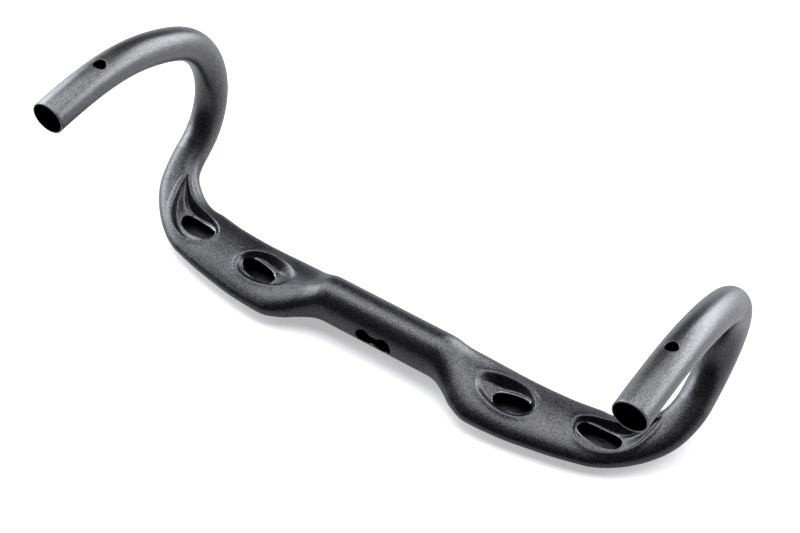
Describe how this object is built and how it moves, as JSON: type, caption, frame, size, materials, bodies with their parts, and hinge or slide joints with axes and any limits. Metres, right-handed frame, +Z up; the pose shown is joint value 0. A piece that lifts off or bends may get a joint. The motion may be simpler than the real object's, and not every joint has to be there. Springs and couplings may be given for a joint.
{
  "type": "drop handlebar",
  "caption": "Bare drop handlebar with flat winged tops, round stem clamp, scooped cable ports, a slotted clamp and flared hooks with open ends.",
  "frame": {"origin": "centre of the round stem clamp, on its axis and on the bar's plane of symmetry", "axes": "+X along the clamp axis towards the right drop, +Y towards the front of the hooks, +Z up with the bar lying on its tops and the drops pointing up"},
  "size_m": [0.4482, 0.1662, 0.1655],
  "materials": {
    "satin_black": "satin black lacquer with a fine sparkling grain over carbon composite",
    "raw_composite": "glossy resin-rich bare carbon composite"
  },
  "bodies": {
    "root": {"centre_wing": "satin_black", "left_drop": "satin_black", "right_drop": "satin_black", "clamp_sleeve": "raw_composite", "left_joint_sleeve": "raw_composite", "right_joint_sleeve": "raw_composite"}
  },
  "joints": []
}
